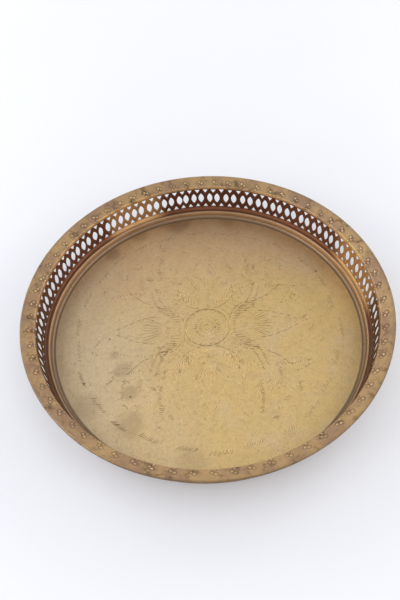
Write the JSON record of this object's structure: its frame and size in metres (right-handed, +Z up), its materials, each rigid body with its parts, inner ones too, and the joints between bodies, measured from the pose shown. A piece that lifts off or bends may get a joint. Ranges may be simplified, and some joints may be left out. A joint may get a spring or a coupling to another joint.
{
  "type": "pierced gallery tray",
  "caption": "Round brass serving tray with a shallow spun pan, a pierced gallery wall and a sloping stamped rim.",
  "frame": {"origin": "centre of the flat underside of the pan, which the tray rests on", "axes": "+Z up, out of the open side of the tray; +Y points away from a viewer who faces the front"},
  "size_m": [0.305, 0.305, 0.0423],
  "materials": {
    "pan_brass": "aged, engraved, satin",
    "gallery_brass": "dark tarnish in the piercings, worn struts",
    "rim_brass": "aged, stamped, satin",
    "wire_brass": "drawn wire, dull",
    "solder": "dull grey-yellow hard solder"
  },
  "bodies": {
    "root": {"pan": "pan_brass", "pierced_gallery": "gallery_brass", "rim_flange": "rim_brass", "edge_wire": "wire_brass", "foot_solder": "solder", "rim_solder": "solder", "seam_solder": "solder"}
  },
  "joints": []
}
